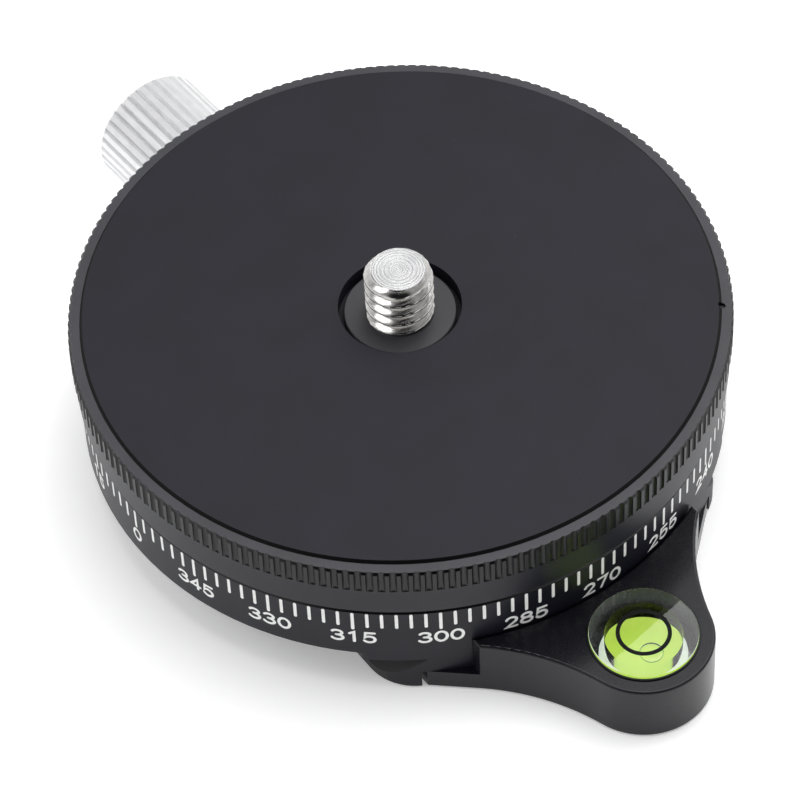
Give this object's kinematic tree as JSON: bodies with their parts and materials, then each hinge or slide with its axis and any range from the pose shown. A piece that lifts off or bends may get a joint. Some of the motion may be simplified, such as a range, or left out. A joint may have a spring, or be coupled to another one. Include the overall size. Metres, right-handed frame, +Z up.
{
  "type": "panoramic tripod base",
  "caption": "Low round panning base: a turning plate with a camera stud over a housing with a degree scale, side lock knob, bubble level ear and dovetail foot.",
  "frame": {"origin": "centre of the dovetail foot's underside, on the rotation axis", "axes": "+Z up along the rotation axis and the camera stud, +Y along the dovetail towards the lock knob, -Y towards the bubble level"},
  "size_m": [0.0608, 0.0837, 0.0229],
  "materials": {
    "black_anodised": "black anodised over a fine blasted surface",
    "bronze": "turned bearing bronze",
    "slide_plastic": "natural acetal",
    "socket_steel": "turned stainless steel",
    "black_steel": "black oxide",
    "vial_backing": "pale matt disc",
    "clear_acrylic": "clear polished acrylic",
    "vial_liquid": "clear yellow-green spirit",
    "ring_ink": "black ring",
    "hub_steel": "ground steel",
    "stainless": "bright turned stainless steel",
    "shoe_nylon": "natural nylon",
    "silver_aluminium": "satin clear anodised",
    "black_nylon": "black nylon"
  },
  "bodies": {
    "base": {"base_housing": "black_anodised", "journal_bush": "bronze", "upper_slide_washer": "slide_plastic", "lower_slide_washer": "slide_plastic", "socket_insert": "socket_steel", "level_bracket": "black_anodised", "bracket_screws": "black_steel", "vial_backing": "vial_backing", "vial_cup": "clear_acrylic", "vial_liquid": "vial_liquid", "vial_lens": "clear_acrylic", "vial_ring": "ring_ink"},
    "rotor": {"top_plate": "black_anodised", "hub": "hub_steel", "retaining_plate": "hub_steel", "hub_screws": "black_steel", "screw_seat": "black_steel", "camera_screw": "stainless"},
    "brake": {"brake_shoe": "shoe_nylon"},
    "knob": {"lock_screw": "hub_steel", "lock_knob": "silver_aluminium", "knob_grub_screw": "black_steel", "knob_washer": "black_nylon"}
  },
  "joints": [
    {"name": "pan", "type": "hinge", "parent": "base", "child": "rotor", "pos_m": [0, 0, 0.0116], "axis": [0, 0, 1], "continuous": true},
    {"name": "lock_feed", "type": "slide", "parent": "base", "child": "brake", "axis": [0.0384, -0.9993, 0], "range_m": [-0.00105, 0.00031]},
    {"name": "lock_turn", "type": "hinge", "parent": "brake", "child": "knob", "pos_m": [-0.00115, 0.02998, 0.00844], "axis": [0.0384, -0.9993, 0], "range_deg": [-541, 160]}
  ],
  "couplings": [
    {"joint": "lock_turn", "follows": "lock_feed", "rad_per_m": 8976}
  ]
}
